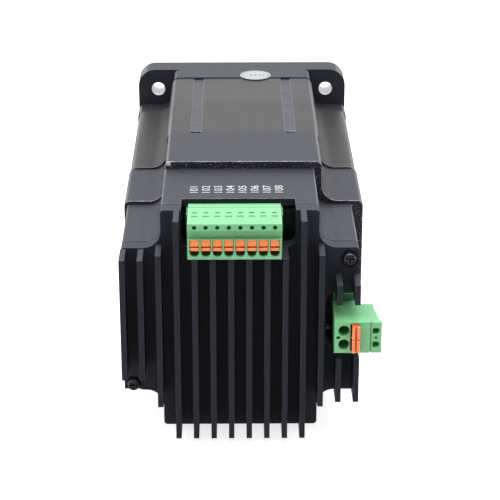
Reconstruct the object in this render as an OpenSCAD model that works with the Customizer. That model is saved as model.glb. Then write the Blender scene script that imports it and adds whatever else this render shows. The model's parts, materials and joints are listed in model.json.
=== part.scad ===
// Square-flanged stepper motor with its driver bolted to its back.
// Frame: origin at the centre of the flange's mounting face, on the shaft axis.
// +Y points out of the shaft end, +Z up (eight-way plug side), +X towards the two-way plug.
// Places along the axis are y values, so everything behind the flange face is negative.

/* [Motor] */
// Width of the square flange
flange_w = 86; // [84:1:88]
// Thickness of the flange
flange_t = 11; // [8:0.5:12]
// Corner radius of the flange
flange_corner_r = 7; // [4:0.5:9]
// Distance between flange bolt holes
bolt_spacing = 69.6; // [69:0.1:70]
// Diameter of a flange bolt hole
bolt_hole_d = 5.5; // [5:0.1:6.6]
// Diameter of the locating pilot
pilot_d = 73; // [70:0.5:74]
// Height of the locating pilot
pilot_h = 2; // [1.5:0.5:2]
// Length of the front bell behind the mounting face
front_bell_len = 22; // [20:0.5:24]
// Length of the stator stack
stator_len = 68.5; // [66:0.5:90]
// Length of the rear bell
rear_bell_len = 33.8; // [32:0.2:36]
// Half width of the raised middle of each motor side
motor_arm = 28; // [27.5:0.1:28.5]

/* [Shaft] */
// Diameter of the output shaft
shaft_d = 14; // [12:0.5:14]
// Length of the shaft in front of the mounting face
shaft_len = 37; // [37:1:45]
// Width and height of the shaft key
key_w = 5; // [4:0.5:5]
// Length of the shaft key
key_len = 18; // [12:1:18]
// Length of the plain seat at the shaft's tip
shaft_seat = 14; // [8:1:14]

/* [Driver] */
// Sideways offset of the driver from the motor axis
driver_x = -1.5; // [-2:0.1:0]
// Half width of the driver
driver_half = 40.4; // [40:0.1:41]
// Half width of the raised middle of each driver side
driver_arm = 26.8; // [26.6:0.1:27]
// Length of the driver housing
housing_len = 35.5; // [35:0.1:36]
// Thickness of the heat sink's base
base_t = 5.6; // [5:0.1:6]
// Number of fins
fin_count = 14; // [14:1:14]
// Distance from fin to fin
fin_pitch = 6.09; // [6:0.01:6.1]
// Thickness of a fin
fin_t = 1.9; // [1.5:0.1:2.2]
// Height of the fins above the base
fin_h = 10.6; // [8:0.2:11]

/* [Plugs] */
// Distance from pole to pole on the eight-way plug
signal_pitch = 3.81; // [3.81:0.01:3.81]
// Sideways place of the eight-way plug's centre
signal_x = -3.3; // [-3.6:0.1:-3]
// Distance from pole to pole on the two-way plug
power_pitch = 5.08; // [5.08:0.01:5.08]
// Height of the two-way plug's centre
power_z = -0.5; // [-1:0.1:0]
// Depth of a wire entry
wire_depth = 12; // [9:0.5:12]

/* [Hidden] */
$fn = 64;

// Motor: places along the axis
motor_half = flange_w / 2;
stator_y = -front_bell_len;
rear_bell_y = stator_y - stator_len;
driver_y = rear_bell_y - rear_bell_len;
motor_edge_r = 2.2;
motor_fillet = 6;
stator_half = motor_half - 0.4;
stator_arm = motor_arm + 0.6;
stator_edge_r = 3;
// Grooves along the stack: distance from its middle, width and depth
strip_x = 17.6;
strip_w = 3.9;
strip_depth = 0.5;
winding_r = 32.5;
tie_offset = 25.4;
tie_shank_r = 2;
tie_head_r = 3.5;

// Bearings: [shaft radius, outer radius, width, ball radius, ball circle radius, balls]
front_bearing = [7.5, 17.5, 11, 2.95, 12.5, 8];
rear_bearing = [6, 14, 8, 2.3, 10, 8];
front_bearing_y = -1.5;
rear_hub_y = rear_bell_y - 10.5;
rear_bearing_y = rear_hub_y - 0.5;
rear_web_y = rear_bell_y - 21.5;
fit_gap = 0.02;
race_gap = 0.06;

// Shaft: width and depth of the retaining-ring groove, and where the key starts
ring_groove = [1.3, 0.3];
key_front = shaft_len - 1 - shaft_seat - ring_groove[0] - 0.5;

// Rotor and stator iron
rotor_r = 22;
air_gap = 0.3;
rotor_teeth = 50;
rotor_y = stator_y - 2.2;
cup_len = 30;
magnet_t = 4.1;
pole_count = 8;
pole_w = 8;
slot_r = 31.5;
shoe_t = 2.6;
coil_r = [25.6, 29.6];
coil_wall = 4.2;
coil_gap = 0.4;
insulator_t = 0.9;
lead_z = 22.6;

// Driver: places along the axis
seam_y = driver_y - housing_len;
sink_y = seam_y - base_t;
fin_y = sink_y - fin_h;
driver_fillet = 6;
driver_edge_r = 1.2;
seam_groove = 0.6;
wall = 2.6;
front_wall = 3;
board_t = 1.6;
board_gap = 5.9;
board_y = seam_y + board_gap + board_t;
transistor_h = 2.3;
pad_t = 1.2;
// Size of the step inside the heat sink that carries the transistors
pedestal = [40, 27];
board_rear_y = board_y - board_t;
cover_screw_x = 37.2;
cover_screw_z = [22.7, -24.6];
post_at = [[29.9, -8], [-31, 10], [-14, -32], [21, 24]];
housing_screw_r = 33;

// Eight-way connector
signal_w = 8 * signal_pitch + 0.8;
signal_top = driver_half;
signal_bottom = 27.85;
signal_rear_y = fin_y - 2.2;
signal_body_y = fin_y + 13.9;
signal_notch = [-21.4, 17.4, 27.1];
signal_wire_r = 1.6;
signal_wire_z = 30.3;
signal_button = [3, 3.95, 9.9];
signal_button_z = 32.72;
signal_pin_z = 33;

// Two-way connector
power_left = 30.2;
power_right = 46.1;
power_h = 2 * power_pitch + 1.14;
power_rear_y = fin_y - 3.2;
power_body_y = fin_y + 14.9;
power_wire_x = 33.4;
power_wire_r = 1.9;
power_button = [2.6, 4.6, 12];
power_button_x = 37.4;
power_button_out = 2.2;
power_notch = [28, 10];

// Colours
black_paint = [0.13, 0.13, 0.15];
steel = [0.75, 0.76, 0.78];
copper = [0.72, 0.42, 0.22];
plug_green = [0.42, 0.78, 0.53];
header_green = [0.16, 0.4, 0.27];
button_orange = [1, 0.48, 0.16];

// An outline in X and Z, extruded backwards from y = front
module slab(front, depth) {
    translate([0, front, 0])
        rotate([90, 0, 0])
            linear_extrude(depth)
                children();
}

// A round bar on the Y axis, from y = front backwards
module bar(front, depth, r) {
    slab(front, depth)
        circle(r);
}

module at(x, z) {
    translate([x, 0, z])
        children();
}

// A box given by its lowest and highest corners
module block(low, high) {
    translate(low)
        cube(high - low);
}

module rounded_rect(w, h, r) {
    square([w - 2 * r, h], center = true);
    square([w, h - 2 * r], center = true);
    for (x = [-1, 1], y = [-1, 1])
        translate([x * (w / 2 - r), y * (h / 2 - r)])
            circle(r);
}

// A square with its four corners cut back to a round-cornered notch
module notched_square(half, arm, fillet, edge) {
    rounded_rect(2 * half, 2 * arm, edge);
    rounded_rect(2 * arm, 2 * half, edge);
    difference() {
        square(2 * (arm + fillet), center = true);
        for (x = [-1, 1], y = [-1, 1])
            translate([x * (arm + fillet), y * (arm + fillet)])
                circle(fillet);
    }
}

module at_corners(offset) {
    for (x = [-1, 1], z = [-1, 1])
        at(x * offset, z * offset)
            children();
}

// Rotates its children about the shaft axis
module spokes(count) {
    for (i = [0 : count - 1])
        rotate([0, i * 360 / count, 0])
            children();
}

// ---- Motor body ----

module front_bell() {
    seat_r = front_bearing[1] + fit_gap;
    color(black_paint)
        difference() {
            union() {
                slab(0, flange_t)
                    rounded_rect(flange_w, flange_w, flange_corner_r);
                slab(-flange_t, front_bell_len - flange_t)
                    notched_square(motor_half, motor_arm, motor_fillet, motor_edge_r);
                bar(pilot_h, pilot_h, pilot_d / 2);
            }
            at_corners(bolt_spacing / 2)
                bar(1, flange_t + 2, bolt_hole_d / 2);
            bar(pilot_h + 1, pilot_h + 10, shaft_d / 2 + 2);
            bar(front_bearing_y, front_bell_len, seat_r);
            bar(-13.5, front_bell_len, winding_r);
            at_corners(tie_offset)
                bar(-12, front_bell_len, tie_shank_r);
        }
}

// The pole shoes' bore, cut into small teeth that face the rotor
module pole_shoes() {
    bore_r = rotor_r + air_gap;
    tooth_angle = 360 / rotor_teeth;
    difference() {
        circle(bore_r + shoe_t);
        circle(bore_r);
        for (i = [0 : pole_count - 1]) {
            rotate((i + 0.5) * 360 / pole_count)
                translate([bore_r, 0])
                    square([3 * shoe_t, 3.4], center = true);
            for (j = [-2 : 1])
                rotate(i * 360 / pole_count + (j + 0.5) * tooth_angle)
                    translate([bore_r, 0])
                        square([1.6, 1.4], center = true);
        }
    }
}

module pole_bars() {
    for (i = [0 : pole_count - 1])
        rotate(i * 360 / pole_count)
            translate([rotor_r + air_gap + 1.5, -pole_w / 2])
                square([9, pole_w]);
}

module stator_core() {
    color([0.36, 0.35, 0.36])
        slab(stator_y, stator_len) {
            difference() {
                notched_square(stator_half, stator_arm, motor_fillet, stator_edge_r);
                circle(slot_r);
                for (side = [0 : 90 : 270], x = [-strip_x, strip_x])
                    rotate(side)
                        translate([x - strip_w / 2, stator_half - strip_depth])
                            square([strip_w, 1]);
                for (x = [-1, 1], y = [-1, 1])
                    translate([x * tie_offset, y * tie_offset])
                        circle(tie_shank_r + 0.25);
            }
            pole_bars();
            pole_shoes();
        }
}

module insulator_outline() {
    intersection() {
        union() {
            difference() {
                circle(slot_r + 0.8);
                circle(slot_r - 0.8);
            }
            pole_bars();
        }
        difference() {
            circle(slot_r + 0.8);
            circle(rotor_r + air_gap + 1.2);
        }
    }
}

module front_insulator() {
    color("ivory")
        slab(stator_y + insulator_t, insulator_t)
            insulator_outline();
}

module rear_insulator() {
    color("ivory")
        slab(rear_bell_y, insulator_t)
            insulator_outline();
}

// One winding: a rounded frame around a pole, on the +X side
module stator_coil() {
    window = [pole_w + 2 * coil_gap, stator_len + 2 * (insulator_t + 0.1)];
    translate([coil_r[0], stator_y - stator_len / 2, 0])
        rotate([0, 90, 0])
            linear_extrude(coil_r[1] - coil_r[0])
                difference() {
                    rounded_rect(window[0] + 2 * coil_wall, window[1] + 2 * coil_wall, 3);
                    rounded_rect(window[0], window[1], 0.4);
                }
}

module stator_coils() {
    color(copper)
        spokes(pole_count)
            stator_coil();
}

module tie_bolts() {
    head_h = 3.5;
    socket_d = 3.4;
    tip_y = -13;
    color([0.2, 0.2, 0.22])
        at_corners(tie_offset)
            difference() {
                union() {
                    bar(tip_y, tip_y - driver_y - 4, tie_shank_r);
                    bar(driver_y + 4, head_h, tie_head_r);
                }
                slab(driver_y + 2.5, 4)
                    circle(socket_d / 2, $fn = 6);
            }
}

module rear_bell() {
    seat_r = rear_bearing[1] + fit_gap;
    post_x = 13;
    color(black_paint)
        difference() {
            union() {
                difference() {
                    slab(rear_bell_y, rear_bell_len)
                        notched_square(motor_half, motor_arm, motor_fillet, motor_edge_r);
                    bar(rear_bell_y + 1, 1 + 13.5, winding_r);
                    bar(rear_web_y, rear_bell_len, 28);
                }
                bar(rear_hub_y, 8, rear_bearing[1] + 4);
                for (x = [-post_x, post_x])
                    at(x, 0)
                        bar(rear_web_y, 5, 2.2);
            }
            bar(rear_hub_y + 1, 1 + 10, seat_r);
            bar(rear_bell_y, rear_bell_len, 7);
            at(0, lead_z)
                bar(rear_bell_y - 13, 10, 3.5);
            spokes(4)
                strip_slots();
            for (x = [-post_x, post_x])
                at(x, 0)
                    bar(rear_web_y - 1, 6, 1);
            at_corners(tie_offset) {
                bar(rear_bell_y + 1, rear_bell_len + 2, tie_shank_r + 0.25);
                bar(driver_y + 4, 5, tie_head_r + 0.2);
            }
            spokes(4)
                at(0, housing_screw_r)
                    bar(driver_y + 9, 10, 1.5);
        }
}

// Small slots in the rear bell's front edge, in line with the stack's grooves
module strip_slots() {
    front = rear_bell_y - 0.3;
    slot_len = 1.4;
    slot_depth = 1.2;
    for (x = [-strip_x, strip_x])
        block(
            [x - strip_w / 2, front - slot_len, motor_half - slot_depth],
            [x + strip_w / 2, front, motor_half + 1]
        );
}

// ---- Bearings ----

// Outer or inner race: a ring with a ball groove
module race(front, bearing, r_in, r_out) {
    groove_r = bearing[3] + race_gap;
    color(steel)
        translate([0, front, 0])
            rotate([90, 0, 0])
                rotate_extrude()
                    difference() {
                        translate([r_in, 0])
                            square([r_out - r_in, bearing[2]]);
                        translate([bearing[4], bearing[2] / 2])
                            circle(groove_r);
                    }
}

module outer_race(front, bearing) {
    race(front, bearing, bearing[4] + 0.7 * bearing[3], bearing[1]);
}

module inner_race(front, bearing) {
    race(front, bearing, bearing[0] + fit_gap, bearing[4] - 0.7 * bearing[3]);
}

module balls(front, bearing, r) {
    translate([0, front - bearing[2] / 2, 0])
        spokes(bearing[5])
            translate([bearing[4], 0, 0])
                sphere(r);
}

// Cage: a ring with a round pocket for every ball
module cage(front, bearing) {
    cage_w = 2 * bearing[3] + 1.6;
    color([0.8, 0.68, 0.4])
        difference() {
            slab(front - (bearing[2] - cage_w) / 2, cage_w)
                difference() {
                    circle(bearing[4] + 0.35 * bearing[3]);
                    circle(bearing[4] - 0.35 * bearing[3]);
                }
            translate([0, front - bearing[2] / 2, 0])
                spokes(bearing[5])
                    rotate([0, 90, 0])
                        cylinder(h = 2 * bearing[4], r = bearing[3] + 0.08);
        }
}

module front_bearing_outer() {
    outer_race(front_bearing_y, front_bearing);
}

module front_bearing_inner() {
    inner_race(front_bearing_y, front_bearing);
}

module front_bearing_balls() {
    color(steel)
        balls(front_bearing_y, front_bearing, front_bearing[3]);
}

module front_bearing_cage() {
    cage(front_bearing_y, front_bearing);
}

module rear_bearing_outer() {
    outer_race(rear_bearing_y, rear_bearing);
}

module rear_bearing_inner() {
    inner_race(rear_bearing_y, rear_bearing);
}

module rear_bearing_balls() {
    color(steel)
        balls(rear_bearing_y, rear_bearing, rear_bearing[3]);
}

module rear_bearing_cage() {
    cage(rear_bearing_y, rear_bearing);
}

module wave_washer() {
    color(steel)
        slab(rear_bearing_y - rear_bearing[2], 0.7)
            difference() {
                circle(rear_bearing[1] - 0.3);
                circle(rear_bearing[1] - 3);
            }
}

// ---- Rotor ----

module shaft() {
    seat_y = shaft_len - 1;
    groove_y = seat_y - shaft_seat;
    keyed_y = groove_y - ring_groove[0];
    collar_y = front_bearing_y - front_bearing[2];
    rear_collar_y = rotor_y - 2 * cup_len - magnet_t;
    color(steel)
        difference() {
            union() {
                translate([0, shaft_len, 0])
                    rotate([90, 0, 0])
                        cylinder(h = 1, r1 = shaft_d / 2 - 0.8, r2 = shaft_d / 2);
                bar(seat_y, shaft_seat, shaft_d / 2);
                bar(groove_y, ring_groove[0], shaft_d / 2 - ring_groove[1]);
                bar(keyed_y, keyed_y - 0.2, shaft_d / 2);
                bar(0.2, 0.2 - collar_y, front_bearing[0]);
                bar(collar_y, collar_y - rotor_y, 9.5);
                bar(rotor_y, rotor_y - rear_collar_y, 8);
                bar(rear_collar_y, rear_collar_y - rear_bearing_y, 7.4);
                bar(rear_bearing_y, rear_bearing[2], rear_bearing[0]);
                bar(rear_bearing_y - rear_bearing[2], 2.8, 4);
            }
            key_pocket(key_front, 0, fit_gap);
        }
}

// The key's round-ended shape, from half the shaft's height up
module key_pocket(front, top, gap) {
    translate([0, front, shaft_d / 2 - 3])
        linear_extrude(3 + top)
            union() {
                translate([0, -key_w / 2])
                    circle(key_w / 2 + gap);
                translate([0, key_w / 2 - key_len])
                    circle(key_w / 2 + gap);
                translate([-key_w / 2 - gap, key_w / 2 - key_len])
                    square([key_w + 2 * gap, key_len - key_w]);
            }
}

module shaft_key() {
    color([0.6, 0.6, 0.62])
        key_pocket(key_front, 2, 0);
}

module rotor_cup(front, turn) {
    tooth_angle = 360 / rotor_teeth;
    color([0.5, 0.5, 0.52])
        slab(front, cup_len)
            difference() {
                circle(rotor_r);
                circle(8 + fit_gap);
                for (i = [0 : rotor_teeth - 1])
                    rotate((i + 0.5 + turn) * tooth_angle)
                        translate([rotor_r, 0])
                            square([2, 1.4], center = true);
            }
}

module front_rotor_cup() {
    rotor_cup(rotor_y, 0);
}

module rear_rotor_cup() {
    rotor_cup(rotor_y - cup_len - magnet_t, 0.5);
}

module rotor_magnet() {
    color([0.3, 0.3, 0.33])
        slab(rotor_y - cup_len, magnet_t)
            difference() {
                circle(rotor_r - 2);
                circle(8 + fit_gap);
            }
}

module encoder_magnet() {
    color([0.3, 0.3, 0.33])
        difference() {
            bar(rear_web_y + 1.6, 4.6, 5);
            bar(rear_web_y + 2, 0.4 + 2, 4 + fit_gap);
        }
}

// ---- Leads and encoder ----

module motor_leads() {
    lead_pitch = 1.2;
    lead_y = rear_bell_y - 6;
    color([0.75, 0.15, 0.12])
        at(0, lead_z)
            at_corners(lead_pitch)
                bar(lead_y, lead_y - board_y - 3.5, 0.7);
}

module lead_grommet() {
    color([0.1, 0.1, 0.1])
        at(0, lead_z)
            difference() {
                union() {
                    bar(rear_bell_y - 13.5, 8, 3.5 - fit_gap);
                    bar(rear_bell_y - 12.5, 1, 4.5);
                }
                bar(rear_bell_y, 30, 2.6);
            }
}

module encoder_board() {
    color([0.1, 0.35, 0.18])
        slab(rear_web_y - 5, 1.6)
            difference() {
                rounded_rect(32, 16, 2);
                for (x = [-13, 13])
                    translate([x, 0])
                        circle(1.2);
            }
}

module encoder_sensor() {
    color([0.08, 0.08, 0.09])
        slab(rear_web_y - 4, 1)
            square([6, 5], center = true);
}

module encoder_screws() {
    color(steel)
        for (x = [-13, 13])
            at(x, 0) {
                bar(rear_web_y - 1, 5.6, 1);
                bar(rear_web_y - 6.6, 1.4, 1.9);
            }
}

module round_label() {
    color("white")
        translate([5.5, stator_y + 2.8, motor_half])
            cylinder(h = 0.12, r = 6.3);
}

// ---- Driver ----

module driver_outline(inset = 0) {
    translate([driver_x, 0])
        notched_square(
            driver_half - inset,
            driver_arm - inset,
            driver_fillet + inset,
            max(driver_edge_r - inset, 0.4)
        );
}

module at_cover_screws() {
    at(driver_x + cover_screw_x, cover_screw_z[0])
        children();
    at(driver_x - cover_screw_x, cover_screw_z[1])
        children();
}

// Opening for the eight-way connector, seen along the axis
module signal_window() {
    corner = 3;
    low = signal_notch[2];
    width = signal_notch[1] - signal_notch[0];
    translate([(signal_notch[0] + signal_notch[1]) / 2, low + corner]) {
        translate([-width / 2, 0])
            square([width, driver_half]);
        square([width - 2 * corner, 2 * corner], center = true);
        for (x = [-1, 1])
            translate([x * (width / 2 - corner), 0])
                circle(corner);
    }
}

// Opening for the two-way connector, open at the driver's side
module power_window() {
    corner = 3;
    half = power_notch[1];
    translate([power_notch[0] + corner, 0]) {
        translate([0, -half])
            square([driver_half, 2 * half]);
        square([2 * corner, 2 * (half - corner)], center = true);
        for (z = [-1, 1])
            translate([0, z * (half - corner)])
                circle(corner);
    }
}

// The housing's outside, stepped in along its rear edge to leave a seam line
module housing_shape() {
    slab(driver_y, housing_len - seam_groove)
        driver_outline();
    slab(driver_y, housing_len)
        driver_outline(seam_groove);
}

module driver_housing() {
    side_x = driver_x + driver_half;
    post_len = driver_y - board_y;
    connector_notch = 5.2;
    color(black_paint)
        difference() {
            union() {
                difference() {
                    housing_shape();
                    slab(driver_y - front_wall, housing_len)
                        driver_outline(wall);
                }
                intersection() {
                    at_cover_screws()
                        bar(driver_y, housing_len, 3.2);
                    housing_shape();
                }
                for (p = post_at)
                    at(driver_x + p[0], p[1])
                        bar(driver_y, post_len, 2.8);
            }
            bar(driver_y + 1, front_wall + 2, 25);
            spokes(4)
                at(0, housing_screw_r)
                    bar(driver_y + 1, front_wall + 2, 1.7);
            for (p = post_at)
                at(driver_x + p[0], p[1])
                    bar(board_y + 8, 9, 1);
            at_cover_screws()
                bar(seam_y + 12, 13, 1.5);
            block([signal_notch[0], seam_y - 1, 30], [signal_notch[1], seam_y + connector_notch, 45]);
            block([side_x - 2 * wall, seam_y - 1, -10], [side_x + 1, board_y, 10]);
        }
}

module housing_screws() {
    color(steel)
        spokes(4)
            at(0, housing_screw_r) {
                bar(driver_y + 8, 8 + front_wall, 1.5);
                difference() {
                    bar(driver_y - front_wall, 2.2, 2.75);
                    cross_recess(driver_y - front_wall - 1, 2, 2.6);
                }
            }
}

// Cross-shaped recess for a screwdriver, opening backwards
module cross_recess(front, depth, width) {
    arm_w = 0.23 * width;
    slab(front, depth) {
        square([width, arm_w], center = true);
        square([arm_w, width], center = true);
    }
}

module fins() {
    for (i = [0 : fin_count - 1]) {
        x = (i - (fin_count - 1) / 2) * fin_pitch;
        past_arm = abs(x) - driver_arm;
        reach = past_arm < 0 ? driver_half : past_arm < 2 ? driver_arm + 1.4 : driver_arm - 0.3;
        block(
            [driver_x + x - fin_t / 2, fin_y, -reach],
            [driver_x + x + fin_t / 2, sink_y, reach]
        );
    }
}

module heat_sink() {
    relief_z = [17.3, -17.9];
    reach = driver_half + 1;
    pedestal_h = board_gap - transistor_h - pad_t;
    color(black_paint)
        difference() {
            union() {
                slab(seam_y, base_t)
                    driver_outline();
                at(driver_x, -4)
                    slab(seam_y + pedestal_h, pedestal_h + 1)
                        rounded_rect(pedestal[0], pedestal[1], 2);
                difference() {
                    fins();
                    block([30, fin_y - 1, relief_z[0]], [reach, sink_y, reach]);
                    block([-reach - 2, fin_y - 1, -reach], [-33, sink_y, relief_z[1]]);
                }
            }
            slab(seam_y + 1, base_t + fin_h + 2)
                signal_window();
            slab(seam_y + 1, base_t + fin_h + 2)
                power_window();
            at_cover_screws() {
                bar(seam_y + 1, base_t + 2, 1.7);
                bar(sink_y + 0.8, 2, 3.3);
            }
        }
}

module heat_sink_screws() {
    color([0.1, 0.1, 0.11])
        at_cover_screws()
            difference() {
                union() {
                    bar(seam_y + 10, base_t + 10, 1.5);
                    translate([0, sink_y + 0.8, 0])
                        rotate([90, 0, 0])
                            cylinder(h = 1.9, r1 = 2.5, r2 = 1.9);
                }
                cross_recess(sink_y + 0.2, 2, 3.2);
            }
}

module circuit_board() {
    color([0.05, 0.07, 0.07])
        slab(board_y, board_t)
            difference() {
                translate([driver_x, 0]) {
                    square([2 * 36.4, 2 * 19], center = true);
                    square([2 * 23.4, 2 * 36.4], center = true);
                }
                for (p = post_at)
                    translate([driver_x + p[0], p[1]])
                        circle(1.3);
                for (i = [0 : 7])
                    translate([signal_pole_x(i), signal_pin_z])
                        circle(0.9);
                for (i = [0 : 1])
                    translate([power_wire_x, power_pole_z(i)])
                        circle(1.1);
            }
}

module board_screws() {
    color([0.85, 0.86, 0.88])
        for (p = post_at)
            at(driver_x + p[0], p[1])
                difference() {
                    union() {
                        bar(board_y + 6, 6 + board_t, 1);
                        bar(board_rear_y, 1.6, 1.9);
                    }
                    cross_recess(board_rear_y - 0.8, 2, 2.6);
                }
}

// Places of the power transistors on the board's rear face
transistor_at = [for (x = [-15, -5, 5, 15], z = [-12, 4]) [x, z]];

module power_transistors() {
    color([0.08, 0.08, 0.09])
        for (p = transistor_at)
            at(driver_x + p[0], p[1])
                slab(board_rear_y, transistor_h)
                    square([6.6, 9], center = true);
}

module thermal_pads() {
    color([0.6, 0.62, 0.68])
        for (z = [-12, 4])
            at(driver_x, z)
                slab(board_rear_y - transistor_h, pad_t)
                    square([38, 10], center = true);
}

module bus_capacitors() {
    can_r = 8;
    color([0.15, 0.2, 0.35])
        for (x = [-15, 7])
            at(driver_x + x, -18)
                difference() {
                    bar(board_y + 20, 20, can_r);
                    slab(board_y + 21, 1.3)
                        union() {
                            square([9, 0.6], center = true);
                            square([0.6, 9], center = true);
                        }
                }
}

module inductor() {
    color([0.22, 0.22, 0.24])
        at(driver_x + 25, 8)
            slab(board_y + 5, 5)
                rounded_rect(11, 11, 1.5);
}

module controller_chip() {
    color([0.07, 0.07, 0.08])
        at(driver_x - 4, 6)
            slab(board_y + 1.4, 1.4)
                square([10, 10], center = true);
}

module gate_drivers() {
    color([0.07, 0.07, 0.08])
        for (x = [-20, 11])
            at(driver_x + x, 2)
                slab(board_y + 1, 1)
                    square([6, 5], center = true);
}

module sense_resistors() {
    color([0.2, 0.2, 0.22])
        for (x = [-28, -23])
            at(driver_x + x, -10)
                slab(board_y + 0.8, 0.8)
                    square([3.2, 6.4], center = true);
}

module lead_socket() {
    color("ivory")
        at(0, lead_z)
            difference() {
                slab(board_y + 7, 7)
                    square([8, 7], center = true);
                at_corners(1.2)
                    bar(board_y + 8, 4.5, 0.75);
            }
}

// ---- Eight-way connector ----

function signal_pole_x(i) = signal_x + (i - 3.5) * signal_pitch;

module signal_header() {
    header_w = signal_w + 1.4;
    low_z = 28.4;
    high_z = 37.6;
    rim = 1.2;
    low_x = signal_x - header_w / 2;
    high_x = signal_x + header_w / 2;
    color(header_green)
        difference() {
            block([low_x, signal_body_y + 0.2, low_z], [high_x, board_rear_y, high_z]);
            block(
                [low_x + rim, signal_body_y - 1, low_z + rim],
                [high_x - rim, board_rear_y - 1.6, high_z - rim]
            );
            for (i = [0 : 7])
                block(
                    [signal_pole_x(i) - 0.5, signal_body_y, signal_pin_z - 0.5],
                    [signal_pole_x(i) + 0.5, board_rear_y + 1, signal_pin_z + 0.5]
                );
        }
}

module signal_pins() {
    color(steel)
        for (i = [0 : 7])
            block(
                [signal_pole_x(i) - 0.48, signal_body_y + 2, signal_pin_z - 0.48],
                [signal_pole_x(i) + 0.48, board_y + 1, signal_pin_z + 0.48]
            );
}

module signal_plug() {
    low_x = signal_x - signal_w / 2;
    high_x = signal_x + signal_w / 2;
    hood_y = signal_body_y + 2.7;
    band_z = [34.85, 38.06];
    band_depth = 1.5;
    slot_w = signal_button[0] + 0.3;
    slot_low = signal_button_z - signal_button[1] / 2 - 0.15;
    slot_high = signal_button_z + signal_button[1] / 2 + 0.15;
    color(plug_green)
        difference() {
            union() {
                block([low_x, signal_rear_y, signal_bottom], [high_x, signal_body_y, signal_top]);
                block([low_x, signal_body_y - 1, 38.1], [high_x, hood_y, signal_top]);
                block([low_x + 0.9, signal_body_y - 1, 30.1], [high_x - 0.9, signal_body_y + 5, 35.9]);
            }
            // set-back band above the buttons
            block(
                [low_x - 1, signal_rear_y - 1, band_z[0]],
                [high_x + 1, signal_rear_y + band_depth, band_z[1]]
            );
            // ridge lines across the top
            for (y = [hood_y - 1.2, hood_y - 3.4])
                block([low_x - 1, y, signal_top - 0.35], [high_x + 1, y + 0.4, signal_top + 1]);
            for (i = [0 : 7])
                signal_pole_cuts(signal_pole_x(i), slot_w, slot_low, slot_high);
        }
}

// Everything cut out of the eight-way plug at one pole
module signal_pole_cuts(x, slot_w, slot_low, slot_high) {
    test_z = 39.1;
    slit_y = fin_y + 8.2;
    at(x, test_z)
        bar(signal_rear_y + 5, 6, 0.75);
    at(x, signal_wire_z)
        bar(signal_rear_y + wire_depth, wire_depth + 1, signal_wire_r);
    block(
        [x - slot_w / 2, signal_rear_y - 1, slot_low],
        [x + slot_w / 2, signal_rear_y + wire_depth, slot_high]
    );
    block([x - 0.8, slit_y - 0.4, signal_top - 2], [x + 0.8, slit_y + 0.4, signal_top + 1]);
    block([x - 1.1, fin_y - 1.6, signal_top - 0.3], [x + 1.1, fin_y + 5.6, signal_top + 1]);
    block(
        [x - 1.25, signal_rear_y + wire_depth + 0.6, signal_pin_z - 1.25],
        [x + 1.25, signal_body_y + 6, signal_pin_z + 1.25]
    );
}

module signal_clamps() {
    color([0.82, 0.83, 0.8])
        for (i = [0 : 7])
            difference() {
                block(
                    [signal_pole_x(i) - 1.2, signal_rear_y + wire_depth + 0.8, signal_pin_z - 1.2],
                    [signal_pole_x(i) + 1.2, signal_body_y + 4, signal_pin_z + 1.2]
                );
                block(
                    [signal_pole_x(i) - 0.7, signal_body_y - 2, signal_pin_z - 0.7],
                    [signal_pole_x(i) + 0.7, signal_body_y + 5, signal_pin_z + 0.7]
                );
            }
}

// One release button with its screwdriver groove
module signal_release(number) {
    x = signal_pole_x(number - 1);
    face_y = signal_rear_y + 0.3;
    half_w = signal_button[0] / 2;
    half_h = signal_button[1] / 2;
    color(button_orange)
        difference() {
            block(
                [x - half_w, face_y, signal_button_z - half_h],
                [x + half_w, face_y + signal_button[2], signal_button_z + half_h]
            );
            block([x - 2, face_y - 1, signal_button_z - 1], [x + 2, face_y + 0.9, signal_button_z - 0.3]);
        }
}

module signal_button_1() {
    signal_release(1);
}

module signal_button_2() {
    signal_release(2);
}

module signal_button_3() {
    signal_release(3);
}

module signal_button_4() {
    signal_release(4);
}

module signal_button_5() {
    signal_release(5);
}

module signal_button_6() {
    signal_release(6);
}

module signal_button_7() {
    signal_release(7);
}

module signal_button_8() {
    signal_release(8);
}

// ---- Two-way connector ----

function power_pole_z(i) = power_z + (0.5 - i) * power_pitch;

module power_header() {
    rim = 1.1;
    low = [power_left + 0.3, power_body_y + 0.2, power_z - 8.3];
    high = [38.1, board_rear_y, power_z + 8.3];
    color(header_green)
        difference() {
            block(low, high);
            block(
                [low[0] + rim, low[1] - 1, low[2] + 2.4],
                [high[0] - rim, board_rear_y - 1.6, high[2] - 2.4]
            );
            for (i = [0 : 1])
                block(
                    [power_wire_x - 0.55, low[1], power_pole_z(i) - 0.55],
                    [power_wire_x + 0.55, high[1] + 1, power_pole_z(i) + 0.55]
                );
        }
}

module power_pins() {
    color(steel)
        for (i = [0 : 1])
            block(
                [power_wire_x - 0.5, power_body_y + 1, power_pole_z(i) - 0.5],
                [power_wire_x + 0.5, board_y + 1, power_pole_z(i) + 0.5]
            );
}

// Outline of the two-way plug, seen from above
module power_profile() {
    polygon([
        [power_left, power_body_y],
        [39, power_body_y],
        [39, power_body_y - 3],
        [power_right - 1.9, power_body_y - 3],
        [power_right - 1.9, power_body_y - 7],
        [power_right - 0.7, power_rear_y + 2.8],
        [power_right, power_rear_y + 0.8],
        [power_right, power_rear_y],
        [power_left, power_rear_y]
    ]);
}

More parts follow.
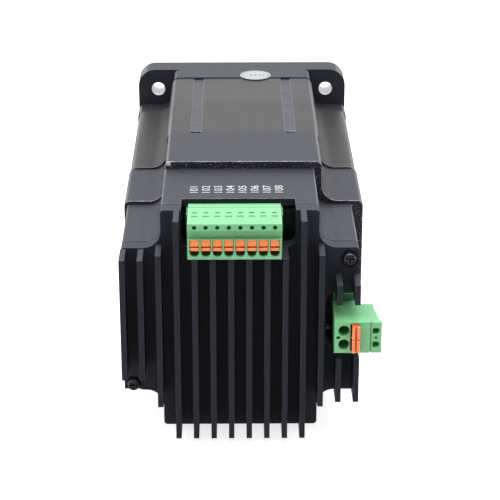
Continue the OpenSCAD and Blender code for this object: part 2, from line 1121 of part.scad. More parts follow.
module power_plug() {
    low_z = power_z - power_h / 2;
    slot = [power_button[0] + 0.3, power_button[1] + 0.3];
    color(plug_green)
        difference() {
            union() {
                translate([0, 0, low_z])
                    linear_extrude(power_h)
                        power_profile();
                block([31.8, power_body_y - 1, power_z - 5.4], [36.7, power_body_y + 5, power_z + 5.4]);
            }
            // seam beside the test holes
            block([42.2, power_rear_y - 1, low_z - 1], [42.6, power_rear_y + 0.6, low_z + power_h + 1]);
            // square hole between the wire entries
            block([30.9, power_rear_y - 1, power_z - 0.5], [32.1, power_rear_y + 3, power_z + 0.5]);
            // mark between the test holes
            block([43.7, power_rear_y - 1, power_z - 0.4], [44.6, power_rear_y + 1, power_z + 0.4]);
            for (i = [0 : 1])
                at(0, power_pole_z(i))
                    power_pole_cuts(slot);
        }
}

// Everything cut out of the two-way plug at one pole
module power_pole_cuts(slot) {
    slot_side = 0.4;
    at(power_wire_x, 0)
        bar(power_rear_y + wire_depth, wire_depth + 1, power_wire_r);
    at(power_button_x, 0)
        slab(power_rear_y + wire_depth, wire_depth + 1)
            translate([-slot_side / 2, 0])
                square([slot[0] + slot_side, slot[1]], center = true);
    slab(power_rear_y + 3, 4) {
        translate([43.1, -1.1])
            square([1.2, 2.2]);
        translate([44.3, 0])
            circle(1.1);
    }
    block(
        [power_wire_x - 1.4, power_rear_y + wire_depth + 0.6, -1.4],
        [power_wire_x + 1.4, power_body_y + 6, 1.4]
    );
}

module power_clamps() {
    color([0.82, 0.83, 0.8])
        for (i = [0 : 1])
            at(power_wire_x, power_pole_z(i))
                difference() {
                    block([-1.35, power_rear_y + wire_depth + 0.8, -1.35], [1.35, power_body_y + 4, 1.35]);
                    block([-0.75, power_body_y - 2, -0.75], [0.75, power_body_y + 5, 0.75]);
                }
}

// One release button with its screwdriver groove
module power_release(number) {
    z = power_pole_z(number - 1);
    face_y = power_rear_y - power_button_out;
    half_w = power_button[0] / 2;
    half_h = power_button[1] / 2;
    color(button_orange)
        at(power_button_x, z)
            difference() {
                block([-half_w, face_y, -half_h], [half_w, face_y + power_button[2], half_h]);
                block([-0.45, face_y - 1, -3], [0.45, face_y + 1, 3]);
            }
}

module power_button_1() {
    power_release(1);
}

module power_button_2() {
    power_release(2);
}

front_bell();
front_bearing_outer();
front_bearing_inner();
front_bearing_balls();
front_bearing_cage();
stator_core();
front_insulator();
rear_insulator();
stator_coils();
tie_bolts();
shaft();
shaft_key();
front_rotor_cup();
rear_rotor_cup();
rotor_magnet();
rear_bell();
rear_bearing_outer();
rear_bearing_inner();
rear_bearing_balls();
rear_bearing_cage();
wave_washer();
motor_leads();
lead_grommet();
encoder_magnet();
encoder_board();
encoder_sensor();
encoder_screws();
round_label();
driver_housing();
housing_screws();
heat_sink();
heat_sink_screws();
circuit_board();
board_screws();
thermal_pads();
power_transistors();
bus_capacitors();
inductor();
controller_chip();
gate_drivers();
sense_resistors();
lead_socket();
signal_header();
signal_pins();
signal_plug();
signal_clamps();
signal_button_1();
signal_button_2();
signal_button_3();
signal_button_4();
signal_button_5();
signal_button_6();
signal_button_7();
signal_button_8();
power_header();
power_pins();
power_plug();
power_clamps();
power_button_1();
power_button_2();
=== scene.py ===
"""Stepper motor with its driver on the back: materials, printed details, light and camera."""
import json
import math

import bmesh
import bpy
from mathutils import Matrix, Vector


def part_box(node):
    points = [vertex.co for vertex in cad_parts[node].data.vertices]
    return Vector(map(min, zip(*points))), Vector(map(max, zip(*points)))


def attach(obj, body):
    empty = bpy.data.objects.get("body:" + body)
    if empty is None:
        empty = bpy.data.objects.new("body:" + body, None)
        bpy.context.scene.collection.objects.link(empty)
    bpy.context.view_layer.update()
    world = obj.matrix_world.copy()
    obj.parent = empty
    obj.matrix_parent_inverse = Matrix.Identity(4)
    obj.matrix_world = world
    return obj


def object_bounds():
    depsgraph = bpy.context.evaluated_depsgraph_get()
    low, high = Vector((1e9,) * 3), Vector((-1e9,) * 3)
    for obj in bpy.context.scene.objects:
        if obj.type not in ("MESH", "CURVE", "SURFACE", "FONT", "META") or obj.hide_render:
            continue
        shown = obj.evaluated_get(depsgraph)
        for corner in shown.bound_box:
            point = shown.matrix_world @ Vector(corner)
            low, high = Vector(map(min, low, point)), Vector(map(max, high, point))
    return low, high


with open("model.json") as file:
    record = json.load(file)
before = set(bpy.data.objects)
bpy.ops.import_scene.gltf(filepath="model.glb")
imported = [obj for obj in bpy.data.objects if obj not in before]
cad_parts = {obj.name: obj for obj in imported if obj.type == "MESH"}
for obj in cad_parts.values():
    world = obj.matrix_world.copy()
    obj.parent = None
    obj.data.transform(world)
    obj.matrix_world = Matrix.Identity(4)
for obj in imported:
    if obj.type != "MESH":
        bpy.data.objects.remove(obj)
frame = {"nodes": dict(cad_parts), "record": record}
cad_low, cad_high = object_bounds()

NODES = frame["nodes"]
MM = 0.001
SIGNAL_BUTTONS = [f"signal_button_{i}" for i in range(1, 9)]
POWER_BUTTONS = ["power_button_1", "power_button_2"]


# ---- Node helpers -----------------------------------------------------------


class Shader:
    """A material's node tree, with short ways to add the nodes used here."""

    def __init__(self, name, color, roughness, metallic=0.0, **sockets):
        self.mat = bpy.data.materials.new(name)
        self.mat.use_nodes = True
        self.tree = self.mat.node_tree
        self.bsdf = self.tree.nodes["Principled BSDF"]
        self.bsdf.inputs["Base Color"].default_value = (*color, 1.0)
        self.bsdf.inputs["Roughness"].default_value = roughness
        self.bsdf.inputs["Metallic"].default_value = metallic
        for key, value in sockets.items():
            self.bsdf.inputs[key.replace("_", " ")].default_value = value
        self.place = self.tree.nodes.new("ShaderNodeTexCoord").outputs["Object"]

    def node(self, kind, links=None, **settings):
        made = self.tree.nodes.new(kind)
        for key, value in settings.items():
            setattr(made, key, value)
        for socket, value in (links or {}).items():
            self.put(value, made.inputs[socket])
        return made

    def put(self, value, socket):
        if isinstance(value, bpy.types.NodeSocket):
            self.tree.links.new(value, socket)
        else:
            socket.default_value = value

    def link(self, value, name):
        self.put(value, self.bsdf.inputs[name])

    def stretched(self, scale):
        """The object's coordinates, multiplied along each axis."""
        return self.node(
            "ShaderNodeMapping", {"Vector": self.place, "Scale": scale}
        ).outputs["Vector"]

    def noise(self, scale, detail=3.0, place=None):
        """Clouds from 0 to 1, with about scale of them in a metre."""
        return self.node(
            "ShaderNodeTexNoise",
            {"Vector": place or self.place, "Scale": scale, "Detail": detail},
        ).outputs["Fac"]

    def ramp(self, value, low, high, out_low=0.0, out_high=1.0):
        """The value, moved from the range low to high into out_low to out_high and clamped."""
        return self.node(
            "ShaderNodeMapRange",
            {
                "Value": value,
                "From Min": low,
                "From Max": high,
                "To Min": out_low,
                "To Max": out_high,
            },
        ).outputs["Result"]

    def math(self, operation, a, b=0.0, c=0.0):
        made = self.node("ShaderNodeMath", operation=operation)
        for socket, value in zip(made.inputs, (a, b, c)):
            self.put(value, socket)
        return made.outputs[0]

    def mix(self, fac, a, b):
        """Colour a where fac is 0 and colour b where it is 1."""
        made = self.node("ShaderNodeMix", data_type="RGBA")
        self.put(fac, made.inputs["Factor"])
        color_a, color_b, color_out = 6, 7, 2
        for value, index in ((a, color_a), (b, color_b)):
            if isinstance(value, tuple):
                value = (*value, 1.0)
            self.put(value, made.inputs[index])
        return made.outputs[color_out]

    def bump(self, height, distance, strength):
        return self.node(
            "ShaderNodeBump",
            {"Height": height, "Distance": distance, "Strength": strength},
        ).outputs["Normal"]

    def axis(self, name):
        split = self.node("ShaderNodeSeparateXYZ", {"Vector": self.place})
        return split.outputs[name]


# ---- Materials --------------------------------------------------------------

COAT_DARK = (0.0115, 0.012, 0.0170)
COAT_LIGHT = (0.018, 0.0187, 0.026)
# Painted highlight colour for rounded outer corners
PAINTED_EDGE_HIGHLIGHT = (0.16, 0.16, 0.17)
PEEL_DEPTH = 0.04 * MM
# Painted shade colour for bevels that fold inwards
PAINTED_CREASE_SHADE = (0.004, 0.004, 0.006)
PLUG_DARK = (0.12, 0.36, 0.155)
PLUG_LIGHT = (0.14, 0.405, 0.18)
PLUG_GLOW_RADIUS = (2 * MM, 3 * MM, 1.5 * MM)
BUTTON_GLOW_RADIUS = (2 * MM, 1 * MM, 0.5 * MM)


def distance_to_holes(s, offset):
    """Distance from the nearest of four axes along Y at x and z = plus or minus offset."""
    x = s.math("SUBTRACT", s.math("ABSOLUTE", s.axis("X")), offset)
    z = s.math("SUBTRACT", s.math("ABSOLUTE", s.axis("Z")), offset)
    return s.math("SQRT", s.math("ADD", s.math("MULTIPLY", x, x), s.math("MULTIPLY", z, z)))


def painted_corner_highlight(s):
    """1 where a long outer edge is rounded and its surface leans half way to the side; a highlight
    is painted there.
    """
    outer_level = 38 * MM
    reach = s.math("MAXIMUM", s.math("ABSOLUTE", s.axis("X")), s.math("ABSOLUTE", s.axis("Z")))
    normal = s.node("ShaderNodeTexCoord").outputs["Normal"]
    split = s.node("ShaderNodeSeparateXYZ", {"Vector": normal})
    # The product is 0 on the flat sides and 0.5 where the normal leans by 45 degrees
    lean = s.math("MULTIPLY", split.outputs["X"], split.outputs["Z"])
    rounded = s.ramp(s.math("ABSOLUTE", lean), 0.38, 0.48)
    return s.math("MULTIPLY", rounded, s.math("GREATER_THAN", reach, outer_level))


def coated(name):
    return Shader(name, COAT_LIGHT, 0.45, Specular_IOR_Level=0.32)


def coat(s):
    """The colour and roughness of a satin black powder coat, with a painted highlight along its
    rounded outer corners.
    """
    color = s.mix(s.noise(900.0, 3.0), COAT_DARK, COAT_LIGHT)
    # Painted highlight along rounded outer corners, in patches
    color = s.mix(s.math("MULTIPLY", painted_corner_highlight(s), s.noise(700.0)), color, PAINTED_EDGE_HIGHLIGHT)
    return color, s.ramp(s.noise(1100.0), 0.3, 0.7, 0.42, 0.50)


def orange_peel(s):
    """The coat's fine waviness."""
    s.link(s.bump(s.noise(1500.0, 2.0), PEEL_DEPTH, 0.5), "Normal")


def paint():
    s = coated("black_paint")
    color, rough = coat(s)
    s.link(color, "Base Color")
    s.link(rough, "Roughness")
    orange_peel(s)
    return s.mat


def front_bell_paint():
    """The coat, with a machined mounting face and bare walls in the four bolt holes."""
    s = coated("front_bell_paint")
    bolt_offset = 34.8 * MM
    hole_wall_radius = 2.81 * MM
    face_from = -0.1 * MM
    in_hole = s.math("LESS_THAN", distance_to_holes(s, bolt_offset), hole_wall_radius)
    face = s.math("GREATER_THAN", s.axis("Y"), face_from)
    marks = s.noise(1.0, 3.0, s.stretched((2500.0, 300.0, 2500.0)))
    machined = s.mix(marks, (0.24, 0.24, 0.25), (0.34, 0.34, 0.35))
    drilled = s.mix(marks, (0.60, 0.60, 0.61), (0.85, 0.85, 0.86))
    color, rough = coat(s)
    color = s.mix(in_hole, s.mix(face, color, machined), drilled)
    bare = s.math("MAXIMUM", face, in_hole)
    bare_roughness = 0.34
    # The holes' walls are 0.4 metallic, and the face 0.4 more
    metallic = s.math("MULTIPLY_ADD", face, 0.4, s.math("MULTIPLY", bare, 0.4))
    s.link(color, "Base Color")
    s.link(metallic, "Metallic")
    s.link(s.ramp(bare, 0.0, 1.0, rough, bare_roughness), "Roughness")
    orange_peel(s)
    return s.mat


def rear_bell_paint():
    """The same coat, rough and flecked on the cast rear face, with one chipped corner."""
    s = coated("rear_bell_paint")
    low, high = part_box("rear_bell")
    cast_depth = 0.7 * MM
    extra_roughness_depth = 0.25 * MM
    cast = s.math("LESS_THAN", s.axis("Y"), low.y + cast_depth)
    flecks = s.math("MULTIPLY", cast, s.ramp(s.noise(1400.0, 3.0), 0.58, 0.66))
    # The chip is at the top left corner of the raised middle, seen from behind
    chip = Vector((-26.8 * MM, low.y, high.z - 0.8 * MM))
    from_chip = s.node(
        "ShaderNodeVectorMath", {0: s.place, 1: chip}, operation="DISTANCE"
    ).outputs["Value"]
    raggedness = 1.6 * MM
    ragged = s.math("MULTIPLY_ADD", s.noise(1200.0, 3.0), raggedness, from_chip)
    chipped = s.ramp(ragged, 1.9 * MM, 1.4 * MM)
    color, rough = coat(s)
    color = s.mix(flecks, color, (0.16, 0.16, 0.17))
    s.link(s.mix(chipped, color, (0.42, 0.42, 0.42)), "Base Color")
    s.link(rough, "Roughness")
    depth = s.math("MULTIPLY_ADD", cast, extra_roughness_depth, PEEL_DEPTH)
    s.link(s.bump(s.noise(1300.0, 3.0), depth, 0.6), "Normal")
    return s.mat


def edge(name, face, painted_highlight, crease_shade):
    """The narrow bevel along an edge: a painted highlight in patches where it stands out, and
    painted shade where it folds in.
    """
    s = Shader(name, face, 0.38, Specular_IOR_Level=0.5)
    flat = 0.5
    bend = s.node("ShaderNodeNewGeometry").outputs["Pointiness"]
    highlight_patches = s.ramp(s.noise(500.0, 3.0), 0.25, 0.6)
    # Painted highlight where the bevel stands out, and painted shade where it folds in
    outer = s.math("MULTIPLY", s.ramp(bend, flat, flat + 0.015), highlight_patches)
    color = s.mix(outer, face, painted_highlight)
    s.link(s.mix(s.ramp(bend, flat, flat - 0.01), color, crease_shade), "Base Color")
    s.link(s.ramp(s.noise(900.0), 0.3, 0.7, 0.30, 0.45), "Roughness")
    return s.mat


def anodised():
    """Black anodised extrusion with faint drawing lines along the fins."""
    s = Shader("black_anodised", (0.02, 0.02, 0.028), 0.5, Specular_IOR_Level=0.3)
    lines = s.noise(1.0, 2.0, s.stretched((2600.0, 2600.0, 30.0)))
    s.link(s.mix(lines, (0.011, 0.012, 0.019), (0.016, 0.0175, 0.027)), "Base Color")
    s.link(s.ramp(lines, 0.3, 0.7, 0.42, 0.56), "Roughness")
    s.link(s.bump(lines, 0.03 * MM, 0.6), "Normal")
    return s.mat


def laminations():
    """The edges of stacked steel sheets under a thin coat, lighter and more even in tone over the
    front part, with a painted highlight along rounded corners and a painted dark reflection on the
    cut-back corners.
    """
    s = Shader("laminations", (0.05, 0.048, 0.048), 0.5, Specular_IOR_Level=0.35)
    low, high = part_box("stator_core")
    rear_share = 0.56
    sheets_per_metre = 1000.0
    front_from = low.y + rear_share * (high.y - low.y)
    front_part = s.ramp(s.axis("Y"), front_from - 0.3 * MM, front_from + 0.3 * MM)
    saw = s.math("PINGPONG", s.math("MULTIPLY", s.axis("Y"), sheets_per_metre), 0.5)
    patch = s.noise(1.0, 3.0, s.stretched((35.0, 1100.0, 35.0)))
    across = s.noise(1.0, 2.0, s.stretched((900.0, 40.0, 900.0)))
    tone = s.math("MULTIPLY_ADD", saw, 0.5, s.math("MULTIPLY_ADD", across, 0.4, patch))
    tone = s.ramp(tone, 0.35, 1.25)
    rear_tone = s.mix(tone, (0.010, 0.0085, 0.008), (0.040, 0.0355, 0.033))
    front_tone = s.mix(tone, (0.020, 0.0185, 0.0185), (0.043, 0.0405, 0.0405))
    stack = s.mix(front_part, rear_tone, front_tone)
    # Painted highlight along the rounded corners
    stack = s.mix(s.math("MULTIPLY", painted_corner_highlight(s), across), stack, PAINTED_EDGE_HIGHLIGHT)
    # Painted dark reflection along the middle of the cut-back corners
    stack = s.mix(s.math("MULTIPLY", painted_ledge_reflection(s), 0.9), stack, (0.006, 0.006, 0.006))
    s.link(s.mix(stack_strips(s), stack, (0.037, 0.038, 0.046)), "Base Color")
    s.link(s.ramp(patch, 0.3, 0.7, 0.42, 0.58), "Roughness")
    s.link(s.bump(tone, 0.06 * MM, 0.7), "Normal")
    return s.mat


def painted_ledge_reflection(s):
    """1 along the middle of the cut-back corners, where a dark reflection of the raised side next
    to them is painted.
    """
    ledge_level = 32 * MM
    x = s.math("ABSOLUTE", s.axis("X"))
    z = s.math("ABSOLUTE", s.axis("Z"))
    cut_back = s.math("LESS_THAN", s.math("MINIMUM", x, z), ledge_level)
    out = s.math("MAXIMUM", x, z)
    past_inner_end = s.ramp(out, 31.5 * MM, 34.0 * MM)
    before_outer_end = s.ramp(out, 40.5 * MM, 37.0 * MM)
    return s.math("MULTIPLY", cut_back, s.math("MULTIPLY", past_inner_end, before_outer_end))


def stack_strips(s):
    """1 along the two grooves on each side of the stack."""
    strip_x = 17.6 * MM
    half_width = 1.95 * MM
    outside = 38.0 * MM
    strips = 0.0
    for across, out in (("X", "Z"), ("Z", "X")):
        off = s.math("SUBTRACT", s.math("ABSOLUTE", s.axis(across)), strip_x)
        near = s.math("LESS_THAN", s.math("ABSOLUTE", off), half_width)
        there = s.math("GREATER_THAN", s.math("ABSOLUTE", s.axis(out)), outside)
        strips = s.math("MAXIMUM", strips, s.math("MULTIPLY", near, there))
    return strips


def steel(name, color, roughness, turned=True):
    """Bare metal, with rings of tool marks around Y if it was turned."""
    s = Shader(name, color, roughness, 1.0)
    turned_grain = (400.0, 9000.0, 400.0)
    even_grain = (900.0, 900.0, 900.0)
    marks = s.noise(1.0, 3.0, s.stretched(turned_grain if turned else even_grain))
    s.link(s.ramp(marks, 0.3, 0.7, roughness * 0.75, roughness * 1.25), "Roughness")
    dark = tuple(0.82 * c for c in color)
    s.link(s.mix(s.noise(120.0), dark, color), "Base Color")
    s.link(s.bump(marks, 0.01 * MM, 0.5), "Normal")
    return s.mat


def black_steel():
    """Black oxide with a faint oily mottle."""
    s = Shader("black_steel", (0.02, 0.02, 0.022), 0.3, Specular_IOR_Level=0.6)
    mottle = s.noise(900.0, 3.0)
    s.link(s.mix(mottle, (0.005, 0.005, 0.006), (0.014, 0.014, 0.016)), "Base Color")
    s.link(s.ramp(s.noise(700.0), 0.3, 0.7, 0.24, 0.40), "Roughness")
    s.link(s.bump(s.noise(2500.0), 0.01 * MM, 0.5), "Normal")
    return s.mat


def moulded(s, smoothest, roughest):
    """The uneven gloss and fine grain of a moulded part."""
    s.link(s.ramp(s.noise(500.0), 0.3, 0.7, smoothest, roughest), "Roughness")
    s.link(s.bump(s.noise(1800.0, 2.0), 0.02 * MM, 0.4), "Normal")


def flow_clouds(s, dark, light):
    return s.mix(s.ramp(s.noise(90.0, 4.0), 0.3, 0.7), dark, light)


def plastic(name, dark, light, roughness, glow=0.0):
    """Moulded plastic with slight flow clouds. Glow is how much light goes through its surface."""
    s = Shader(
        name, light, roughness,
        Subsurface_Weight=glow, Subsurface_Radius=PLUG_GLOW_RADIUS,
    )
    s.link(flow_clouds(s, dark, light), "Base Color")
    moulded(s, 0.85 * roughness, 1.15 * roughness)
    return s.mat


def signal_plug_green():
    """The plug's green, with painted shade inside its eight marking slits."""
    s = Shader(
        "signal_plug_green", PLUG_LIGHT, 0.42,
        Subsurface_Weight=0.1, Subsurface_Radius=PLUG_GLOW_RADIUS,
    )
    low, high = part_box("signal_plug")
    slit_y = low.y + 10.4 * MM
    slit_half_width = 0.5 * MM
    slit_top = high.z - 0.05 * MM
    from_middle = s.math("ABSOLUTE", s.math("SUBTRACT", s.axis("Y"), slit_y))
    at_slits = s.math("LESS_THAN", from_middle, slit_half_width)
    below_top = s.math("LESS_THAN", s.axis("Z"), slit_top)
    slit_shade = s.math("MULTIPLY", at_slits, below_top)
    green = flow_clouds(s, PLUG_DARK, PLUG_LIGHT)
    # Painted shade inside the slits
    s.link(s.mix(slit_shade, green, (0.004, 0.012, 0.006)), "Base Color")
    moulded(s, 0.36, 0.48)
    return s.mat


def button(name, example):
    """Orange plastic, with painted shade that makes it a deeper red down its sides and in its
    middle slot.
    """
    s = Shader(
        name, (1.0, 0.27, 0.05), 0.35,
        Subsurface_Weight=0.1, Subsurface_Radius=BUTTON_GLOW_RADIUS,
    )
    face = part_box(example)[0].y
    # Painted shade: a deeper red further in from the rear face
    deep_shade = s.ramp(s.axis("Y"), face + 0.25 * MM, face + 0.75 * MM)
    top = s.mix(s.noise(140.0, 3.0), (0.74, 0.135, 0.018), (0.86, 0.19, 0.032))
    s.link(s.mix(deep_shade, top, (0.62, 0.045, 0.012)), "Base Color")
    moulded(s, 0.30, 0.42)
    return s.mat


def board():
    """Black solder mask with faint tracks under it."""
    s = Shader("board", (0.008, 0.012, 0.011), 0.35, Specular_IOR_Level=0.4)
    tracks = s.node(
        "ShaderNodeTexVoronoi",
        {"Vector": s.place, "Scale": 420.0},
        feature="F1", distance="CHEBYCHEV",
    ).outputs["Distance"]
    fac = s.ramp(tracks, 0.42, 0.48)
    s.link(s.mix(fac, (0.005, 0.009, 0.008), (0.010, 0.018, 0.015)), "Base Color")
    s.link(s.bump(fac, 0.03 * MM, 0.5), "Normal")
    return s.mat


def copper_wire():
    """Enamelled wire laid side by side around each pole."""
    s = Shader("copper_wire", (0.55, 0.2, 0.08), 0.3, 0.8)
    turns_per_metre = 1400.0
    turns = s.math("PINGPONG", s.math("MULTIPLY", s.axis("X"), turns_per_metre), 0.5)
    s.link(s.mix(s.noise(300.0), (0.42, 0.13, 0.05), (0.62, 0.25, 0.10)), "Base Color")
    s.link(s.bump(turns, 0.2 * MM, 0.8), "Normal")
    return s.mat


MATERIALS = {
    "black_paint": paint(),
    "front_bell_paint": front_bell_paint(),
    "rear_bell_paint": rear_bell_paint(),
    # Each edge material: face colour, painted highlight colour where it stands out, painted shade
    # colour where it folds in
    "paint_edge": edge("paint_edge", COAT_LIGHT, (0.30, 0.30, 0.32), PAINTED_CREASE_SHADE),
    "fin_edge": edge("fin_edge", (0.016, 0.017, 0.025), (0.09, 0.09, 0.11), (0.004, 0.004, 0.007)),
    "stack_edge": edge(
        "stack_edge", (0.04, 0.037, 0.036), (0.13, 0.125, 0.125), (0.008, 0.008, 0.008)
    ),
    "screw_edge": edge("screw_edge", (0.03, 0.03, 0.03), (0.34, 0.34, 0.35), (0.004, 0.004, 0.004)),
    "plug_edge": edge("plug_edge", PLUG_LIGHT, (0.38, 0.72, 0.46), (0.09, 0.30, 0.13)),
    "header_edge": edge("header_edge", (0.05, 0.22, 0.11), (0.35, 0.75, 0.48), (0.02, 0.10, 0.05)),
    "button_edge": edge("button_edge", (0.86, 0.19, 0.03), (1.0, 0.45, 0.18), (0.3, 0.02, 0.008)),
    "black_anodised": anodised(),
    "laminations": laminations(),
    "insulator": plastic("insulator", (0.55, 0.50, 0.40), (0.70, 0.65, 0.54), 0.5),
    "copper_wire": copper_wire(),
    "black_steel": black_steel(),
    "ground_steel": steel("ground_steel", (0.60, 0.60, 0.62), 0.28),
    "bearing_steel": steel("bearing_steel", (0.70, 0.70, 0.72), 0.16),
    "brass": steel("brass", (0.72, 0.52, 0.22), 0.3, turned=False),
    "rotor_iron": steel("rotor_iron", (0.32, 0.32, 0.34), 0.4),
    "magnet": steel("magnet", (0.22, 0.22, 0.24), 0.35, turned=False),
    "lead_insulation": plastic("lead_insulation", (0.40, 0.02, 0.015), (0.55, 0.04, 0.03), 0.4),
    "rubber": plastic("rubber", (0.012, 0.012, 0.012), (0.03, 0.03, 0.03), 0.7),
    "board": board(),
    "chip": plastic("chip", (0.012, 0.012, 0.013), (0.028, 0.028, 0.03), 0.5),
    "plated_steel": steel("plated_steel", (0.80, 0.80, 0.80), 0.18, turned=False),
    "label": plastic("label", (0.24, 0.24, 0.245), (0.28, 0.28, 0.285), 0.5),
    "thermal_pad": plastic("thermal_pad", (0.30, 0.32, 0.40), (0.38, 0.40, 0.48), 0.8),
    "capacitor_sleeve": plastic("capacitor_sleeve", (0.02, 0.03, 0.10), (0.03, 0.05, 0.15), 0.25),
    "header_plastic": plastic("header_plastic", (0.03, 0.15, 0.075), (0.05, 0.22, 0.11), 0.4),
    "plug_plastic": plastic("plug_plastic", PLUG_DARK, PLUG_LIGHT, 0.42, glow=0.1),
    "signal_plug_green": signal_plug_green(),
    "signal_button": button("signal_button", "signal_button_1"),
    "power_button": button("power_button", "power_button_1"),
    "print_white": plastic("print_white", (0.34, 0.34, 0.36), (0.44, 0.44, 0.46), 0.5),
    "print_grey": plastic("print_grey", (0.02, 0.02, 0.022), (0.05, 0.05, 0.055), 0.5),
}

# Nodes whose look is more than their material slot's name says
SPECIAL = {
    "front_bell": "front_bell_paint",
    "rear_bell": "rear_bell_paint",
    "signal_plug": "signal_plug_green",
    **{name: "signal_button" for name in SIGNAL_BUTTONS},
    **{name: "power_button" for name in POWER_BUTTONS},
}


def assign_materials():
    """Give each CAD node the material its record's slot names, or its own from SPECIAL."""
    slots = {row["node"]: row["material_slot"] for row in frame["record"]["subparts"]}
    for name, obj in NODES.items():
        obj.data.materials.clear()
        obj.data.materials.append(MATERIALS[SPECIAL.get(name, slots[name])])


# ---- Edges ------------------------------------------------------------------


def break_edges(name, width, material, dissolve):
    """Small bevels on a CAD node's sharp edges, as modifiers, with its mesh left alone.

    Dissolving joins the triangles of a flat face, so that its border bevels cleanly.
    """
    obj = NODES[name]
    obj.data.materials.append(MATERIALS[material])
    weld = obj.modifiers.new("weld", "WELD")
    weld.merge_threshold = 0.002 * MM
    if dissolve:
        flat = obj.modifiers.new("flat", "DECIMATE")
        flat.decimate_type = "DISSOLVE"
        flat.angle_limit = math.radians(0.5)
    bevel = obj.modifiers.new("bevel", "BEVEL")
    bevel.width = width
    bevel.segments = 2
    bevel.limit_method = "ANGLE"
    bevel.angle_limit = math.radians(35)
    bevel.use_clamp_overlap = True
    bevel.material = len(obj.data.materials) - 1
    normals = obj.modifiers.new("normals", "WEIGHTED_NORMAL")
    normals.keep_sharp = True


# Bevel width in millimetres and bevel material of each node whose edges show
EDGES = {
    "front_bell": (0.3, "paint_edge"),
    "rear_bell": (0.35, "paint_edge"),
    "driver_housing": (0.3, "paint_edge"),
    "heat_sink": (0.16, "fin_edge"),
    "stator_core": (0.12, "stack_edge"),
    "signal_plug": (0.12, "plug_edge"),
    "power_plug": (0.12, "plug_edge"),
    "signal_header": (0.1, "header_edge"),
    "power_header": (0.12, "header_edge"),
    "heat_sink_screws": (0.1, "screw_edge"),
    "board_screws": (0.06, "screw_edge"),
    "shaft": (0.1, "ground_steel"),
    "shaft_key": (0.15, "ground_steel"),
    **{name: (0.12, "button_edge") for name in SIGNAL_BUTTONS + POWER_BUTTONS},
}


# ---- Printed details --------------------------------------------------------

PRINT_HALF_THICKNESS = 0.02 * MM


def new_object(name, data):
    obj = bpy.data.objects.new(name, data)
    bpy.context.scene.collection.objects.link(obj)
    return obj


def new_mesh(name, bm):
    mesh = bpy.data.meshes.new(name)
    bm.to_mesh(mesh)
    bm.free()
    return mesh


def printed(name, mesh, material, body):
    """Put a printed mesh in the scene, so that it moves with a body."""
    mesh.materials.clear()
    mesh.materials.append(MATERIALS[material])
    obj = new_object(name, mesh)
    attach(obj, body)


def printed_number(text, name, material, body, height, centre, turn=0.0, stretch=1.0):
    """A flat printed number, a few hundredths of a millimetre thick, widened by stretch."""
    curve = bpy.data.curves.new(name, "FONT")
    curve.body = text
    curve.size = height
    curve.align_x = "CENTER"
    curve.align_y = "CENTER"
    curve.extrude = PRINT_HALF_THICKNESS
    curve.space_character = 1.1
    source = new_object(name + "_outline", curve)
    bpy.context.view_layer.update()
    mesh = bpy.data.meshes.new_from_object(source)
    bpy.data.objects.remove(source)
    mesh.transform(Matrix.Scale(stretch, 4, Vector((1, 0, 0))))
    mesh.transform(Matrix.Translation(centre) @ Matrix.Rotation(turn, 4, "Z"))
    printed(name, mesh, material, body)


def pole_numbers():
    """Numbers 101 to 108 on the housing, one for each pole of the eight-way plug."""
    housing_low, housing_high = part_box("driver_housing")
    first_number = 101
    poles = 8
    spacing = 4.2 * MM
    centre_x = -2.45 * MM
    y = housing_low.y + 14.0 * MM
    z = housing_high.z + PRINT_HALF_THICKNESS
    for i in range(poles):
        x = centre_x + (i - (poles - 1) / 2) * spacing
        printed_number(
            str(first_number + i), f"pole_number_{i + 1}", "print_white", "motor",
            height=4.0 * MM, centre=Vector((x, y, z)), turn=math.radians(90), stretch=1.22,
        )


def ring_mesh(name, radius, width, centre, sides=64):
    """A flat ring, whose radius is that of the middle of its width."""
    bm = bmesh.new()
    rows = []
    for r in (radius - width / 2, radius + width / 2):
        rows.append([
            bm.verts.new(centre + r * Vector((math.cos(a), math.sin(a), 0)))
            for a in (2 * math.pi * k / sides for k in range(sides))
        ])
    for k in range(sides):
        n = (k + 1) % sides
        bm.faces.new((rows[0][k], rows[1][k], rows[1][n], rows[0][n]))
    return new_mesh(name, bm)


def label_marks():
    """A plain ring and five small numbers printed on the round label."""
    low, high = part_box("round_label")
    centre = Vector(((low.x + high.x) / 2, (low.y + high.y) / 2, high.z + 0.01 * MM))
    radius = (high.x - low.x) / 2
    ring_radius = 0.86 * radius
    ring_width = 0.18 * MM
    numbers = 5
    spacing = 1.7 * MM
    ring = ring_mesh("label_ring", ring_radius, ring_width, centre)
    printed("label_ring", ring, "print_grey", "motor")
    for i in range(numbers):
        x = centre.x + (i - (numbers - 1) / 2) * spacing
        printed_number(
            str(i + 1), f"label_number_{i + 1}", "print_grey", "motor",
            height=1.9 * MM, centre=Vector((x, centre.y, centre.z)),
        )


# ---- Studio -----------------------------------------------------------------


def floor():
    """A white floor that glows a little, as a light table does, so shadows stay faint."""
    bm = bmesh.new()
    half = 4.0
    corners = [(-half, -half), (half, -half), (half, half), (-half, half)]
    bm.faces.new([bm.verts.new((x, y, cad_low.z)) for x, y in corners])
    mesh = new_mesh("floor", bm)
    obj = new_object("floor", mesh)
    s = Shader("floor", (0.6, 0.6, 0.6), 0.9, Emission_Strength=0.75)
    s.bsdf.inputs["Emission Color"].default_value = (1.0, 1.0, 1.0, 1.0)
    mesh.materials.append(s.mat)
    obj.visible_glossy = False


def aim(obj, direction):
    """Turn a light or a camera to look in a direction."""
    obj.rotation_mode = "QUATERNION"
    obj.rotation_quaternion = direction.to_track_quat("-Z", "Y")


def area_light(name, place, target, size, power):
    """A soft box of size metres, place and target in metres and power in watts."""
    data = bpy.data.lights.new(name, "AREA")
    data.shape = "RECTANGLE"
    data.size, data.size_y = size
    data.energy = power
    obj = new_object(name, data)
    obj.location = place
    aim(obj, Vector(target) - Vector(place))


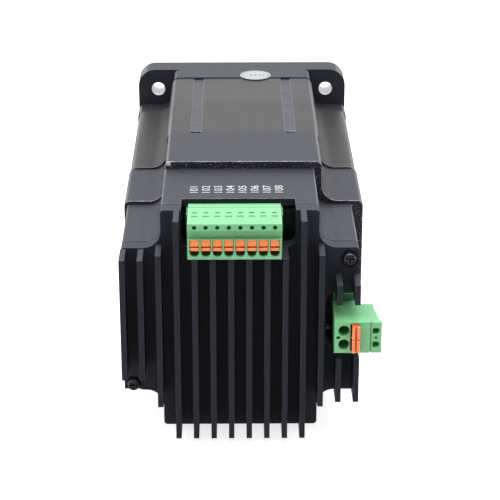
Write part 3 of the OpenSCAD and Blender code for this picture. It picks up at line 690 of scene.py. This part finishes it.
def studio():
    """A bright backdrop behind the object, dark on the camera's side, and three soft lights."""
    world = bpy.data.worlds.new("studio")
    world.use_nodes = True
    tree = world.node_tree
    direction = tree.nodes.new("ShaderNodeTexCoord").outputs["Generated"]
    brightest_side = (0.0, 0.8, 0.45)
    away = tree.nodes.new("ShaderNodeVectorMath")
    away.operation = "DOT_PRODUCT"
    away.inputs[1].default_value = brightest_side
    tree.links.new(direction, away.inputs[0])
    level = tree.nodes.new("ShaderNodeMapRange")
    level.interpolation_type = "SMOOTHSTEP"
    for key, value in {"From Min": -0.35, "From Max": 0.75, "To Min": 0.26, "To Max": 1.25}.items():
        level.inputs[key].default_value = value
    tree.links.new(away.outputs["Value"], level.inputs["Value"])
    background = tree.nodes["Background"]
    background.inputs["Color"].default_value = (0.92, 0.95, 1.0, 1.0)
    tree.links.new(level.outputs["Result"], background.inputs["Strength"])
    bpy.context.scene.world = world
    middle = (0.0, -0.08, 0.0)
    area_light("top", (0.0, -0.1, 0.8), (0.0, -0.1, 0.0), size=(1.0, 1.1), power=15.5)
    area_light("left", (-0.8, -0.3, 0.45), middle, size=(0.5, 0.5), power=3.0)
    area_light("right", (0.8, -0.4, 0.35), middle, size=(0.5, 0.5), power=2.0)


def camera():
    """The camera, a little left of the middle and looking down; angles are in radians."""
    data = bpy.data.cameras.new("camera")
    data.lens = 126.6
    data.sensor_width = 36.0
    data.clip_start = 0.05
    obj = new_object("camera", data)
    obj.location = (-3.44 * MM, -714.6 * MM, 254.0 * MM)
    pitch = 0.3936
    yaw = 0.0097
    look = Vector((
        math.sin(yaw) * math.cos(pitch),
        math.cos(yaw) * math.cos(pitch),
        -math.sin(pitch),
    ))
    aim(obj, look)
    bpy.context.scene.camera = obj


assign_materials()
for node, (width, material) in EDGES.items():
    # Dissolving would draw faces across the eight-way plug's many slots and hide its buttons
    break_edges(node, width * MM, material, dissolve=node != "signal_plug")
pole_numbers()
label_marks()
floor()
studio()
camera()
bpy.context.scene.view_settings.view_transform = "Standard"
